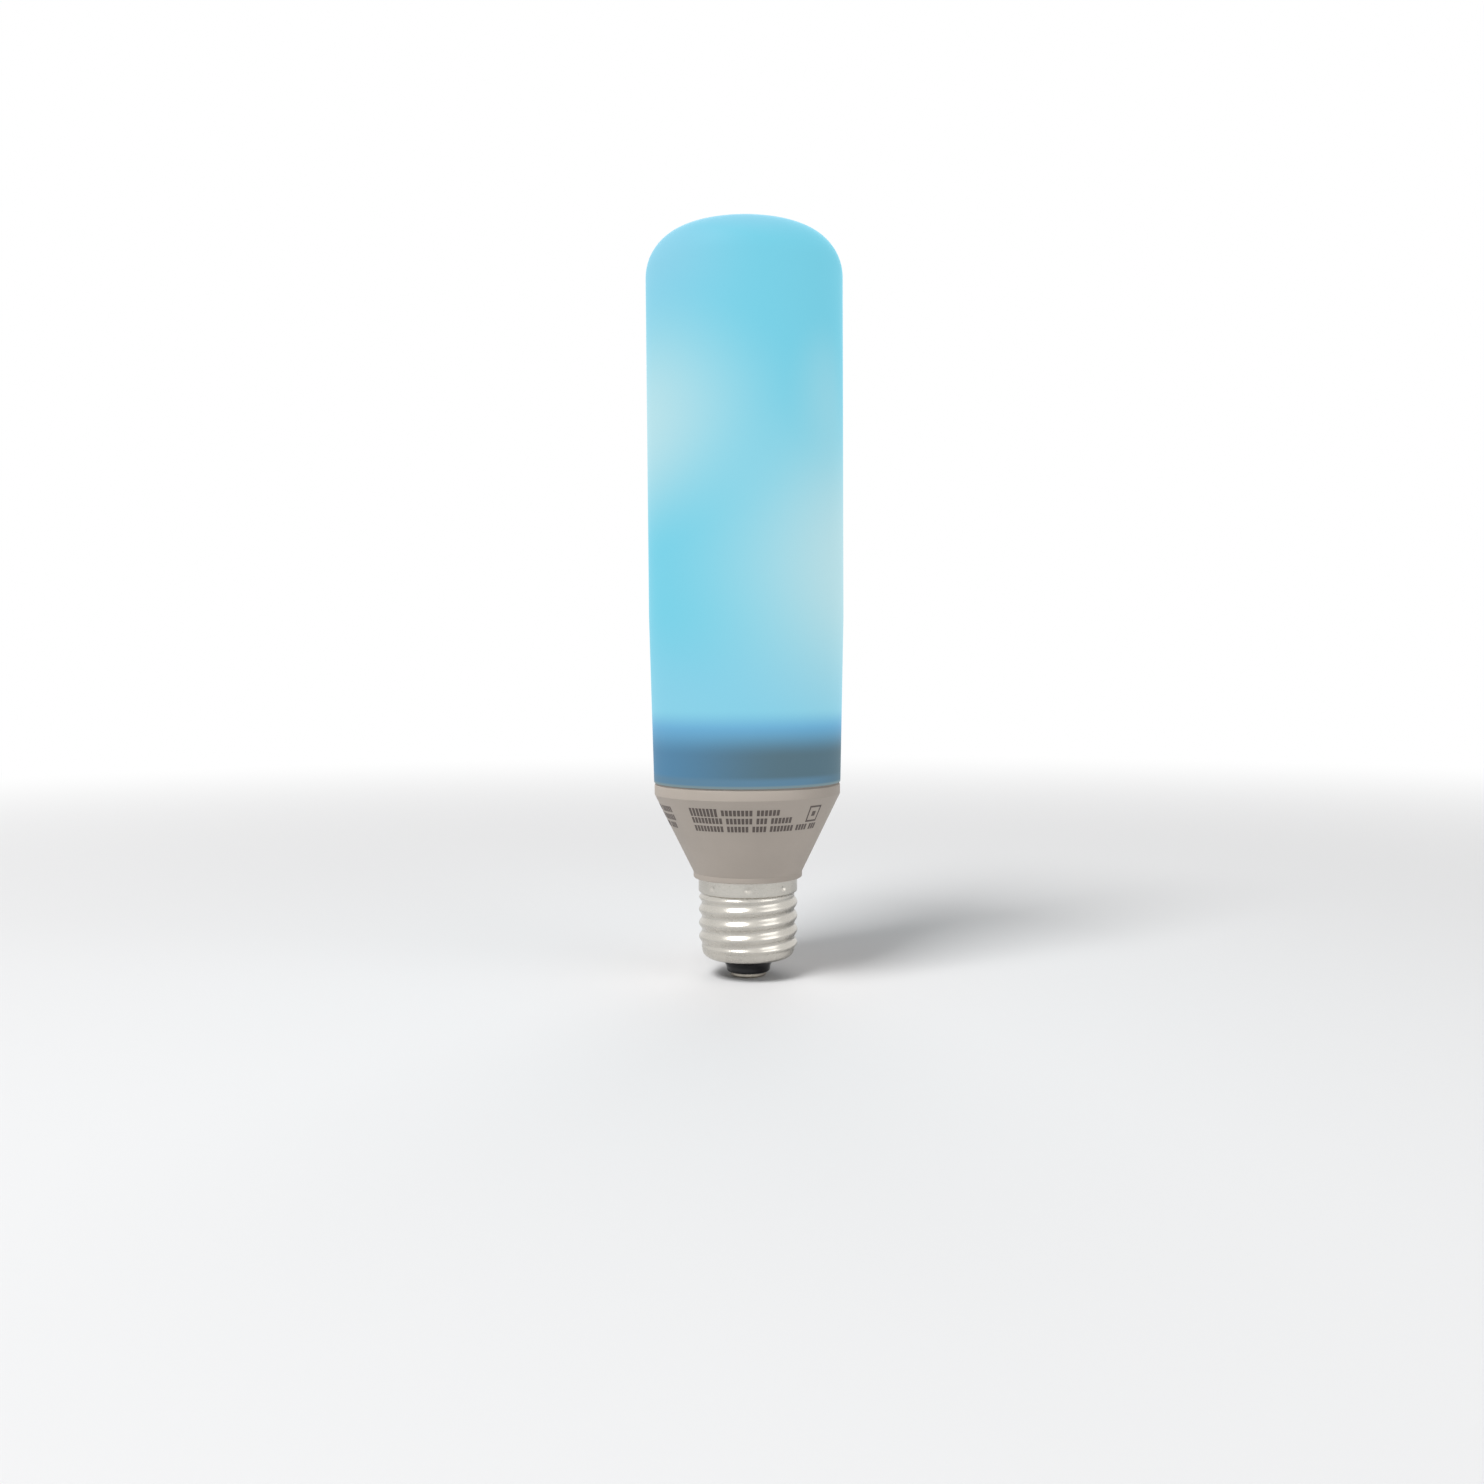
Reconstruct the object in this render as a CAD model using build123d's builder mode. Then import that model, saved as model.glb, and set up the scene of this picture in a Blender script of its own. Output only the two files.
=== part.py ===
# LED tube bulb: a frosted tube over a five sided LED post, a tapered housing and a screw cap.
# Millimetres, +Z along the tube, origin at the centre of the centre contact's bottom face.
from build123d import *
from math import cos, pi, radians, tan
import os

os.makedirs("parts", exist_ok=True)

# Clearances
press_gap = 0.05
slip_gap = 0.15
free_gap = 0.3

# Screw cap
cap_height = 26.5
shell_wall = 0.35
thread_crest = 13.1
thread_depth = 0.8
thread_pitch = 3.629
thread_foot_width = 2.7
thread_crest_width = 0.8
skirt_height = 3.6
skirt_flare = 0.7
lip_width = 2.7
lip_height = 5.0
lip_rise = 2.4
contact_radius = 4.75
contact_height = 1.2
contact_edge = 0.4
rivet_radius = 1.5
rivet_rise = 0.5
nose_margin = 1.05
insulator_setback = 1.15
insulator_flange_height = 1.1
insulator_hub = 3.2

# Housing
collar_setback = 0.1
collar_height = 2.6
collar_edge = 0.4
cone_half_angle = 26.0
shoulder_step = 1.3
shoulder_height = 1.5
housing_wall = 1.8
spigot_height = 11.5
neck_depth = 14.0
neck_wall = 1.4
seal_height = 0.4
seal_setback = 0.3

# Diffuser
tube_radius = 25.5
mouth_inset = 0.9
diffuser_height = 141.7
diffuser_wall = 1.3
taper_height = 43.0
crown_radius = 11.3
crown_chamfer = 7.0

# Heat sink cup, carrier plate and LED post
cup_wall = 1.0
cup_flange = 2.0
cup_flange_width = 5.15
plate_setback = 0.1
plate_thickness = 2.0
plate_bore = 6.5
plate_screw_count = 3
plate_screw_inset = 2.25
post_sides = 5
post_apothem = 11.5
post_wall = 1.4
crown_room = 17.2
post_recess = 0.6
tape_thickness = 0.25
board_thickness = 1.0
board_margin = 0.5
board_seam = 0.5
led_pitch = 10.0
led_size = 5.0
led_height = 1.6
led_notch = 0.8
first_led = 6.0
lid_overhang = 0.25
lid_thickness = 2.0
lid_plug = 4.0
lid_bore = 3.0
top_board_radius = 8.1
top_board_thickness = 1.2
top_led_spacing = 6.0

# Screws
screw_radius = 1.0
screw_head = 1.9
screw_head_height = 1.3
screw_grip = 1.8

# Driver sleeve and driver board
sleeve_wall = 0.8
sleeve_room = 3.15
sleeve_lift = 0.5
sleeve_floor = 1.0
foot_length = 2.2
foot_width = 3.0
foot_height = 2.0
rail_thickness = 1.0
rail_depth = 2.6
pcb_thickness = 1.2
board_setback = 0.8

# Parts on the driver board
header_width = 6.0
header_depth = 2.5
header_overlap = 2.0
header_rise = 2.0
parts_lift = 2.5
input_cap_radius = 4.0
input_cap_height = 11.5
input_cap_inset = 7.4
output_cap_radius = 3.15
output_cap_height = 11.0
output_cap_inset = 7.4
vent_width = 0.6
vent_depth = 0.4
core_width = 10.0
core_height = 10.0
core_depth = 4.0
core_leg = 3.0
core_yoke = 1.6
core_inset = 8.8
bobbin_wall = 0.5
winding_build = 1.0
choke_radius = 2.5
choke_height = 6.0
choke_waist = 1.5
choke_flange = 1.0
choke_side = 0.5
film_width = 6.0
film_height = 9.0
film_depth = 4.6
film_inset = 6.6
chip_width = 5.0
chip_height = 4.0
chip_depth = 1.5
chip_rise = 17.0
bridge_width = 4.8
bridge_height = 6.0
bridge_depth = 2.4
bridge_rise = 8.0
fuse_radius = 1.6
fuse_length = 6.5
fuse_side = 4.4
fuse_rise = 7.0
pin_radius = 0.35
pin_inset = 0.8
varistor_radius = 3.2
varistor_depth = 3.0
varistor_side = 3.4
varistor_rise = 9.0

# Parts on the control board
control_thickness = 1.2
control_room = 5.8
can_length = 8.0
can_width = 9.0
can_height = 2.2
can_wall = 0.3
can_inset = 8.05
plug_length = 4.0
plug_width = 4.0
plug_height = 3.2
controller_size = 5.0
controller_height = 0.9
controller_side = 9.0

# Leads
live_wire = 0.6
tab_thickness = 0.4
tab_width = 1.6
tab_side = 5.2
tab_drop = 1.2
tab_run = 3.5
led_wire = 0.9

# Radii of the cap, the housing and the diffuser, worked out from the sizes above
thread_root = thread_crest - thread_depth
shell_bore = thread_root - shell_wall
lip_radius = thread_root - lip_width
insulator_nose = contact_radius + nose_margin
insulator_flange = shell_bore - insulator_setback
neck_radius = shell_bore - slip_gap
neck_shoulder = thread_crest - shell_wall - slip_gap
neck_bore = neck_radius - neck_wall
shoulder_radius = thread_crest + shoulder_step
tube_bore = tube_radius - diffuser_wall
mouth_radius = tube_radius - mouth_inset
mouth_bore = mouth_radius - diffuser_wall
collar_radius = mouth_radius - collar_setback
spigot_radius = mouth_bore - free_gap
spigot_bore = spigot_radius - housing_wall

# Heights of the cap, the housing and the diffuser
skirt_start = cap_height - skirt_height
flare_start = skirt_start - skirt_flare
lip_top = lip_height + lip_rise
flange_top = lip_top + insulator_flange_height
rivet_height = flange_top + rivet_rise
neck_end = cap_height - neck_depth
cone_slope = tan(radians(cone_half_angle))
wall_run = 1 / cos(radians(cone_half_angle))
cone_start = cap_height + shoulder_height
collar_start = cone_start + (collar_radius - shoulder_radius) / cone_slope
collar_top = collar_start + collar_height
joint_height = collar_top + seal_height
taper_top = joint_height + taper_height
diffuser_top = joint_height + diffuser_height
spigot_top = collar_top + spigot_height


def cone_height(radius, inset):
    # Height at which the cone's line moved inwards by inset has this radius
    return cone_start + (radius + inset * wall_run - shoulder_radius) / cone_slope


# Heat sink cup, carrier plate and LED post
cup_radius = spigot_bore - press_gap
cup_bore = cup_radius - cup_wall
cup_foot = cone_height(spigot_bore, housing_wall) + free_gap
plate_radius = spigot_radius - plate_setback
plate_screw_circle = cup_radius - plate_screw_inset
plate_top = spigot_top + plate_thickness
post_foot = plate_top - post_recess
post_top = diffuser_top - crown_room
lid_top = post_top + lid_thickness
top_board_top = lid_top + top_board_thickness
tape_apothem = post_apothem + tape_thickness
board_apothem = tape_apothem + board_thickness
led_board_foot = plate_top + board_margin
led_board_length = post_top - board_margin - led_board_foot
first_row = plate_top + first_led
led_rows = 1 + int((post_top - board_margin - led_size / 2 - first_row) // led_pitch)
corner_angle = 90
face_angle = corner_angle + 180 / post_sides
screw_angle = corner_angle + 180
hole_radius = screw_radius + press_gap

# Driver sleeve, driver board and control board
sleeve_radius = cup_bore - sleeve_room
sleeve_bore = sleeve_radius - sleeve_wall
sleeve_neck = neck_bore - slip_gap
sleeve_neck_bore = sleeve_neck - sleeve_wall
sleeve_foot = neck_end + sleeve_lift
sleeve_step = cone_height(sleeve_radius + press_gap, housing_wall)
sleeve_ledge = sleeve_step + sleeve_floor
sleeve_top = spigot_top - control_room
driver_foot = sleeve_foot + foot_height
driver_top = sleeve_top - header_rise
driver_half = sleeve_bore - board_setback
driver_neck_half = sleeve_neck_bore - board_setback
board_face = pcb_thickness / 2
upper_parts = sleeve_ledge + parts_lift
control_radius = sleeve_radius - slip_gap
control_top = sleeve_top + control_thickness


def post_outline(apothem, mode=Mode.ADD):
    # Five sided outline round the post at this distance from the axis to a side
    RegularPolygon(apothem, post_sides, major_radius=False, rotation=corner_angle, mode=mode)


def finish(piece, name):
    piece.part.label = name
    export_step(piece.part, f"parts/{name}.step")


# Centre contact: a flat head and the rivet shank that holds it in the insulator
with BuildPart() as centre_contact:
    with BuildSketch():
        Circle(contact_radius)
    extrude(amount=contact_height)
    chamfer(centre_contact.edges().group_by(Axis.Z)[0], contact_edge)
    with BuildSketch(Plane.XY.offset(contact_height)):
        Circle(rivet_radius)
    extrude(amount=rivet_height - contact_height)
finish(centre_contact, "centre_contact")

# Insulator: a cone from the contact to the shell's lip, with a flange and a hub inside the shell
with BuildPart() as cap_insulator:
    with BuildSketch(Plane.XZ):
        with BuildLine():
            Polyline(
                (rivet_radius + press_gap, contact_height),
                (insulator_nose, contact_height),
                (lip_radius - press_gap, lip_height - press_gap),
                (lip_radius - press_gap, lip_top),
                (insulator_flange, lip_top),
                (insulator_flange, flange_top),
                (insulator_hub, flange_top),
                (insulator_hub, rivet_height - slip_gap),
                (rivet_radius + press_gap, rivet_height - slip_gap),
                close=True,
            )
        make_face()
    revolve(axis=Axis.Z)
finish(cap_insulator, "cap_insulator")

# Screw shell: a sheet metal shell with a turned in lip, a rolled thread and a flared skirt
with BuildPart() as screw_shell:
    with BuildSketch(Plane.XZ):
        with BuildLine():
            Polyline(
                (lip_radius, lip_height),
                (thread_root, lip_top),
                (thread_root, flare_start),
                (thread_crest, skirt_start),
                (thread_crest, cap_height),
                (thread_crest - shell_wall, cap_height),
                (thread_crest - shell_wall, skirt_start),
                (shell_bore, flare_start),
                (shell_bore, lip_top),
                (lip_radius, lip_height + shell_wall),
                close=True,
            )
        make_face()
    revolve(axis=Axis.Z)
    with BuildLine():
        thread_line = Helix(
            thread_pitch,
            flare_start - lip_top - thread_foot_width,
            thread_root,
            center=(0, 0, lip_top + thread_foot_width / 2),
        )
    with BuildSketch(Plane(origin=thread_line @ 0, x_dir=(1, 0, 0), z_dir=thread_line % 0)):
        with BuildLine():
            Polyline(
                (-shell_wall / 2, -thread_foot_width / 2),
                (-shell_wall / 2, thread_foot_width / 2),
                (thread_depth, thread_crest_width / 2),
                (thread_depth, -thread_crest_width / 2),
                close=True,
            )
        make_face()
    sweep(path=thread_line, is_frenet=True)
finish(screw_shell, "screw_shell")

# Housing: collar, taper, shoulder, neck inside the shell and spigot inside the diffuser
with BuildPart() as housing:
    with BuildSketch(Plane.XZ):
        with BuildLine():
            Polyline(
                (neck_radius, neck_end),
                (neck_radius, flare_start + slip_gap),
                (neck_shoulder, skirt_start + slip_gap),
                (neck_shoulder, cap_height),
                (shoulder_radius, cap_height),
                (shoulder_radius, cone_start),
                (collar_radius, collar_start),
                (collar_radius, collar_top - collar_edge),
                (collar_radius - collar_edge, collar_top),
                (spigot_radius, collar_top),
                (spigot_radius, spigot_top),
                (spigot_bore, spigot_top),
                (spigot_bore, cone_height(spigot_bore, housing_wall)),
                (neck_bore, cone_height(neck_bore, housing_wall)),
                (neck_bore, neck_end),
                close=True,
            )
        make_face()
    revolve(axis=Axis.Z)
finish(housing, "housing")

# Diffuser: a blown tube with a flat crown and a slight taper towards its mouth
with BuildPart() as diffuser:
    with BuildSketch(Plane.XZ):
        with BuildLine():
            tube_line = FilletPolyline(
                (mouth_radius, joint_height),
                (tube_radius, taper_top),
                (tube_radius, diffuser_top),
                (0, diffuser_top),
                radius=[0, crown_radius],
            )
            Polyline(
                tube_line @ 1,
                (0, diffuser_top - diffuser_wall),
                (tube_bore - crown_chamfer, diffuser_top - diffuser_wall),
                (tube_bore, diffuser_top - diffuser_wall - crown_chamfer),
                (tube_bore, taper_top),
                (mouth_bore, joint_height),
                tube_line @ 0,
            )
        make_face()
    revolve(axis=Axis.Z)
finish(diffuser, "diffuser")

# Seal: the silicone ring between the collar and the diffuser's mouth, set back so that a fine line shows
with BuildPart() as diffuser_seal:
    with BuildSketch(Plane.XY.offset(collar_top)):
        Circle(mouth_radius - seal_setback)
        Circle(spigot_radius + press_gap, mode=Mode.SUBTRACT)
    extrude(amount=seal_height)
finish(diffuser_seal, "diffuser_seal")

# Heat sink cup: an aluminium ring pressed into the spigot, with a flange for the plate's screws
with BuildPart() as heat_sink_cup:
    with BuildSketch(Plane.XY.offset(cup_foot)):
        Circle(cup_radius)
        Circle(cup_bore, mode=Mode.SUBTRACT)
    extrude(amount=spigot_top - cup_foot)
    with BuildSketch(Plane.XY.offset(spigot_top)):
        Circle(cup_radius)
        Circle(cup_radius - cup_flange_width, mode=Mode.SUBTRACT)
        with PolarLocations(plate_screw_circle, plate_screw_count, start_angle=screw_angle):
            Circle(hole_radius, mode=Mode.SUBTRACT)
    extrude(amount=-cup_flange)
finish(heat_sink_cup, "heat_sink_cup")

# Carrier plate: the aluminium disc that the post stands on, recessed for its foot
with BuildPart() as carrier_plate:
    with BuildSketch(Plane.XY.offset(spigot_top)):
        Circle(plate_radius)
        Circle(plate_bore, mode=Mode.SUBTRACT)
        with PolarLocations(plate_screw_circle, plate_screw_count, start_angle=screw_angle):
            Circle(hole_radius, mode=Mode.SUBTRACT)
    extrude(amount=plate_thickness)
    with BuildSketch(Plane.XY.offset(plate_top)):
        post_outline(post_apothem + slip_gap)
    extrude(amount=-post_recess, mode=Mode.SUBTRACT)
finish(carrier_plate, "carrier_plate")

# LED post: an extruded five sided tube
with BuildPart() as led_post:
    with BuildSketch(Plane.XY.offset(post_foot)):
        post_outline(post_apothem)
        post_outline(post_apothem - post_wall, mode=Mode.SUBTRACT)
    extrude(amount=post_top - post_foot)
finish(led_post, "led_post")

# Thermal tape and the folded LED board, closed round the post with a seam at one corner
with BuildPart() as thermal_tape:
    with BuildSketch(Plane.XY.offset(led_board_foot)):
        post_outline(tape_apothem)
        post_outline(post_apothem, mode=Mode.SUBTRACT)
    extrude(amount=led_board_length)
finish(thermal_tape, "thermal_tape")

with BuildPart() as led_board:
    with BuildSketch(Plane.XY.offset(led_board_foot)):
        post_outline(board_apothem)
        post_outline(tape_apothem, mode=Mode.SUBTRACT)
        with PolarLocations(board_apothem / cos(pi / post_sides), 1, start_angle=corner_angle):
            Rectangle(4 * board_thickness, board_seam, mode=Mode.SUBTRACT)
    extrude(amount=led_board_length)
finish(led_board, "led_board")

# LEDs in one column on each side of the post, all with a notched corner
with BuildPart() as side_leds:
    for side in range(post_sides):
        outward = Vector(1, 0, 0).rotate(Axis.Z, face_angle + side * 360 / post_sides)
        seat = outward * board_apothem + Vector(0, 0, first_row)
        with BuildSketch(Plane(origin=seat, x_dir=(0, 0, 1), z_dir=outward)):
            for row in range(led_rows):
                with Locations((row * led_pitch, 0)):
                    Rectangle(led_size, led_size)
            for row in range(led_rows):
                with Locations((row * led_pitch + led_size / 2, led_size / 2)):
                    Rectangle(led_notch * 2**0.5, led_notch * 2**0.5, rotation=45, mode=Mode.SUBTRACT)
        extrude(amount=led_height)
finish(side_leds, "side_leds")

# Post lid, the round board on it and the four LEDs that light the crown
with BuildPart() as post_lid:
    with BuildSketch(Plane.XY.offset(post_top)):
        post_outline(board_apothem + lid_overhang)
    extrude(amount=lid_thickness)
    with BuildSketch(Plane.XY.offset(post_top)):
        post_outline(post_apothem - post_wall - slip_gap)
    extrude(amount=-lid_plug)
    with BuildSketch(Plane.XY.offset(lid_top)):
        Circle(lid_bore)
    extrude(amount=-lid_thickness - lid_plug, mode=Mode.SUBTRACT)
finish(post_lid, "post_lid")

with BuildPart() as top_led_board:
    with BuildSketch(Plane.XY.offset(lid_top)):
        Circle(top_board_radius)
    extrude(amount=top_board_thickness)
finish(top_led_board, "top_led_board")

with BuildPart() as top_leds:
    with BuildSketch(Plane.XY.offset(top_board_top)):
        with GridLocations(top_led_spacing, top_led_spacing, 2, 2):
            Rectangle(led_size, led_size)
    extrude(amount=led_height)
finish(top_leds, "top_leds")

# Screws that hold the carrier plate to the cup's flange
with BuildPart() as plate_screws:
    with BuildSketch(Plane.XY.offset(plate_top)):
        with PolarLocations(plate_screw_circle, plate_screw_count, start_angle=screw_angle):
            Circle(screw_head)
    extrude(amount=screw_head_height)
    with BuildSketch(Plane.XY.offset(plate_top)):
        with PolarLocations(plate_screw_circle, plate_screw_count, start_angle=screw_angle):
            Circle(screw_radius)
    extrude(amount=-plate_thickness - screw_grip)
finish(plate_screws, "plate_screws")

# Driver sleeve: the stepped insulating cup, with rails and two feet for the driver board
with BuildPart() as driver_sleeve:
    with BuildSketch(Plane.XZ):
        with BuildLine():
            Polyline(
                (sleeve_neck, sleeve_foot),
                (sleeve_neck, sleeve_step),
                (sleeve_radius, sleeve_step),
                (sleeve_radius, sleeve_top),
                (sleeve_bore, sleeve_top),
                (sleeve_bore, sleeve_ledge),
                (sleeve_neck_bore, sleeve_ledge),
                (sleeve_neck_bore, sleeve_foot),
                close=True,
            )
        make_face()
    revolve(axis=Axis.Z)
    rail_start = driver_half + slip_gap - rail_depth
    rail_middle = (rail_start + sleeve_bore) / 2
    rail_offset = board_face + slip_gap + rail_thickness / 2
    for x_way in (-1, 1):
        with BuildSketch(Plane.XY.offset(upper_parts)):
            for y_way in (-1, 1):
                with Locations((x_way * rail_middle, y_way * rail_offset)):
                    Rectangle(sleeve_bore - rail_start + sleeve_wall / 2, rail_thickness)
        extrude(amount=driver_top - upper_parts)
        with BuildSketch(Plane.XY.offset(sleeve_foot)):
            with Locations((x_way * (sleeve_neck_bore + sleeve_wall / 2 - foot_length / 2), 0)):
                Rectangle(foot_length, foot_width)
        extrude(amount=foot_height)
finish(driver_sleeve, "driver_sleeve")

# Driver board: narrow in the neck and wide in the cone
with BuildPart() as driver_board:
    with BuildSketch(Plane.XZ):
        with BuildLine():
            outline = Polyline(
                (0, driver_foot),
                (driver_neck_half, driver_foot),
                (driver_neck_half, sleeve_ledge + slip_gap),
                (driver_half, sleeve_ledge + slip_gap),
                (driver_half, driver_top),
                (0, driver_top),
            )
            mirror(outline, about=Plane.YZ)
        make_face()
    extrude(amount=board_face, both=True)
finish(driver_board, "driver_board")

# Header that joins the driver board's edge to the control board above it
with BuildPart() as board_header:
    with BuildSketch(Plane.XY.offset(driver_top - header_overlap)):
        with Locations((0, board_face + header_depth / 2)):
            Rectangle(header_width, header_depth)
    extrude(amount=header_rise + header_overlap)
finish(board_header, "board_header")

# Electrolytic capacitors: cans with a crossed vent in the top
input_cap_spot = (input_cap_inset - driver_half, board_face + input_cap_radius)
with BuildPart() as input_capacitor:
    with BuildSketch(Plane.XY.offset(upper_parts)):
        with Locations(input_cap_spot):
            Circle(input_cap_radius)
    extrude(amount=input_cap_height)
    with BuildSketch(Plane.XY.offset(upper_parts + input_cap_height)):
        with Locations(input_cap_spot):
            Rectangle(input_cap_radius, vent_width)
            Rectangle(vent_width, input_cap_radius)
    extrude(amount=-vent_depth, mode=Mode.SUBTRACT)
finish(input_capacitor, "input_capacitor")

output_cap_spot = (output_cap_inset - driver_half, -board_face - output_cap_radius)
with BuildPart() as output_capacitor:
    with BuildSketch(Plane.XY.offset(upper_parts)):
        with Locations(output_cap_spot):
            Circle(output_cap_radius)
    extrude(amount=output_cap_height)
    with BuildSketch(Plane.XY.offset(upper_parts + output_cap_height)):
        with Locations(output_cap_spot):
            Rectangle(output_cap_radius, vent_width)
            Rectangle(vent_width, output_cap_radius)
    extrude(amount=-vent_depth, mode=Mode.SUBTRACT)
finish(output_capacitor, "output_capacitor")

# Transformer: ferrite core with two windows, the bobbin on its middle leg and the winding
bobbin_inner_width = core_leg + 2 * press_gap
bobbin_inner_depth = core_depth + 2 * press_gap
bobbin_outer_width = bobbin_inner_width + 2 * bobbin_wall
bobbin_outer_depth = bobbin_inner_depth + 2 * bobbin_wall
winding_width = bobbin_outer_width + 2 * winding_build
winding_depth = bobbin_outer_depth + 2 * winding_build
window_width = (core_width - core_leg - 2 * core_yoke) / 2
window_height = core_height - 2 * core_yoke
bobbin_height = window_height - 2 * press_gap
core_side = driver_half - core_inset
core_level = upper_parts + core_height / 2
core_centre = board_face + winding_depth / 2
bobbin_plane = Plane.XY.offset(core_level - bobbin_height / 2)
with BuildPart() as transformer_core:
    with BuildSketch(Plane.XZ.offset(-core_centre)):
        with Locations((core_side, core_level)):
            Rectangle(core_width, core_height)
            with GridLocations(core_leg + window_width, 0, 2, 1):
                Rectangle(window_width, window_height, mode=Mode.SUBTRACT)
    extrude(amount=core_depth / 2, both=True)
finish(transformer_core, "transformer_core")

with BuildPart() as transformer_bobbin:
    with BuildSketch(bobbin_plane):
        with Locations((core_side, core_centre)):
            Rectangle(bobbin_outer_width, bobbin_outer_depth)
            Rectangle(bobbin_inner_width, bobbin_inner_depth, mode=Mode.SUBTRACT)
    extrude(amount=bobbin_height)
    for flange_level in (0, bobbin_height - bobbin_wall):
        with BuildSketch(bobbin_plane.offset(flange_level)):
            with Locations((core_side, core_centre)):
                Rectangle(winding_width, winding_depth)
                Rectangle(bobbin_inner_width, bobbin_inner_depth, mode=Mode.SUBTRACT)
        extrude(amount=bobbin_wall)
finish(transformer_bobbin, "transformer_bobbin")

with BuildPart() as transformer_winding:
    with BuildSketch(bobbin_plane.offset(bobbin_wall)):
        with Locations((core_side, core_centre)):
            RectangleRounded(winding_width, winding_depth, winding_build)
            Rectangle(bobbin_outer_width, bobbin_outer_depth, mode=Mode.SUBTRACT)
    extrude(amount=bobbin_height - 2 * bobbin_wall)
finish(transformer_winding, "transformer_winding")

# Choke: a ferrite drum and the winding in its waist
choke_spot = (choke_side, -board_face - choke_radius)
with BuildPart() as choke_core:
    with BuildSketch(Plane.XY.offset(upper_parts)):
        with Locations(choke_spot):
            Circle(choke_radius)
    extrude(amount=choke_height)
    with BuildSketch(Plane.XY.offset(upper_parts + choke_flange)):
        with Locations(choke_spot):
            Circle(choke_radius)
            Circle(choke_waist, mode=Mode.SUBTRACT)
    extrude(amount=choke_height - 2 * choke_flange, mode=Mode.SUBTRACT)
finish(choke_core, "choke_core")

with BuildPart() as choke_winding:
    with BuildSketch(Plane.XY.offset(upper_parts + choke_flange)):
        with Locations(choke_spot):
            Circle(choke_radius - free_gap)
            Circle(choke_waist, mode=Mode.SUBTRACT)
    extrude(amount=choke_height - 2 * choke_flange)
finish(choke_winding, "choke_winding")

# Film capacitor, switching chip and bridge rectifier on the board's front face
front_plane = Plane.XZ.offset(board_face)
with BuildPart() as film_capacitor:
    with BuildSketch(front_plane):
        with Locations((driver_half - film_inset, upper_parts + film_height / 2)):
            Rectangle(film_width, film_height)
    extrude(amount=film_depth)
finish(film_capacitor, "film_capacitor")

with BuildPart() as switching_chip:
    with BuildSketch(front_plane):
        with Locations((0, driver_foot + chip_rise)):
            Rectangle(chip_width, chip_height)
    extrude(amount=chip_depth)
finish(switching_chip, "switching_chip")

with BuildPart() as bridge_rectifier:
    with BuildSketch(front_plane):
        with Locations((0, driver_foot + bridge_rise)):
            Rectangle(bridge_width, bridge_height)
    extrude(amount=bridge_depth)
finish(bridge_rectifier, "bridge_rectifier")

# Fuse resistor and varistor on the board's back face
back_plane = Plane.XZ.offset(-board_face)
fuse_level = driver_foot + fuse_rise
fuse_centre = board_face + fuse_radius + free_gap
with BuildPart() as fuse_resistor:
    with BuildSketch(Plane.XY.offset(fuse_level)):
        with Locations((-fuse_side, fuse_centre)):
            Circle(fuse_radius)
    extrude(amount=fuse_length)
    with BuildSketch(back_plane):
        for pin_level in (fuse_level + pin_inset, fuse_level + fuse_length - pin_inset):
            with Locations((-fuse_side, pin_level)):
                Circle(pin_radius)
    extrude(amount=board_face - fuse_centre)
finish(fuse_resistor, "fuse_resistor")

with BuildPart() as varistor:
    with BuildSketch(back_plane):
        with Locations((varistor_side, driver_foot + varistor_rise)):
            Circle(varistor_radius)
    extrude(amount=-varistor_depth)
finish(varistor, "varistor")

# Control board on the sleeve's rim, with its shielded radio, controller and LED plug
can_side = control_radius - can_inset
with BuildPart() as control_board:
    with BuildSketch(Plane.XY.offset(sleeve_top)):
        Circle(control_radius)
    extrude(amount=control_thickness)
finish(control_board, "control_board")

with BuildPart() as radio_can:
    with BuildSketch(Plane.XY.offset(control_top)):
        with Locations((-can_side, 0)):
            Rectangle(can_length, can_width)
    extrude(amount=can_height)
    with BuildSketch(Plane.XY.offset(control_top)):
        with Locations((-can_side, 0)):
            Rectangle(can_length - 2 * can_wall, can_width - 2 * can_wall)
    extrude(amount=can_height - can_wall, mode=Mode.SUBTRACT)
finish(radio_can, "radio_can")

with BuildPart() as led_controller:
    with BuildSketch(Plane.XY.offset(control_top)):
        with Locations((0, controller_side)):
            Rectangle(controller_size, controller_size)
    extrude(amount=controller_height)
finish(led_controller, "led_controller")

with BuildPart() as led_plug:
    with BuildSketch(Plane.XY.offset(control_top)):
        Rectangle(plug_length, plug_width)
    extrude(amount=plug_height)
finish(led_plug, "led_plug")

# Leads: a wire from the contact, a bent tab from the shell and the cable up to the top board
with BuildPart() as live_lead:
    with BuildSketch(Plane.XY.offset(rivet_height)):
        Circle(live_wire)
    extrude(amount=driver_foot - rivet_height)
finish(live_lead, "live_lead")

tab_end = shell_bore - free_gap
tab_level = neck_end - tab_drop
with BuildPart() as neutral_tab:
    with BuildSketch(front_plane):
        with BuildLine():
            Polyline(
                (-tab_end, tab_level),
                (-tab_side, tab_level),
                (-tab_side, driver_foot + tab_run),
                (-tab_side - tab_thickness, driver_foot + tab_run),
                (-tab_side - tab_thickness, tab_level + tab_thickness),
                (-tab_end, tab_level + tab_thickness),
                close=True,
            )
        make_face()
    extrude(amount=tab_width)
finish(neutral_tab, "neutral_tab")

with BuildPart() as led_lead:
    with BuildSketch(Plane.XY.offset(control_top + plug_height)):
        Circle(led_wire)
    extrude(amount=lid_top - control_top - plug_height)
finish(led_lead, "led_lead")
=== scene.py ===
import math

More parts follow.
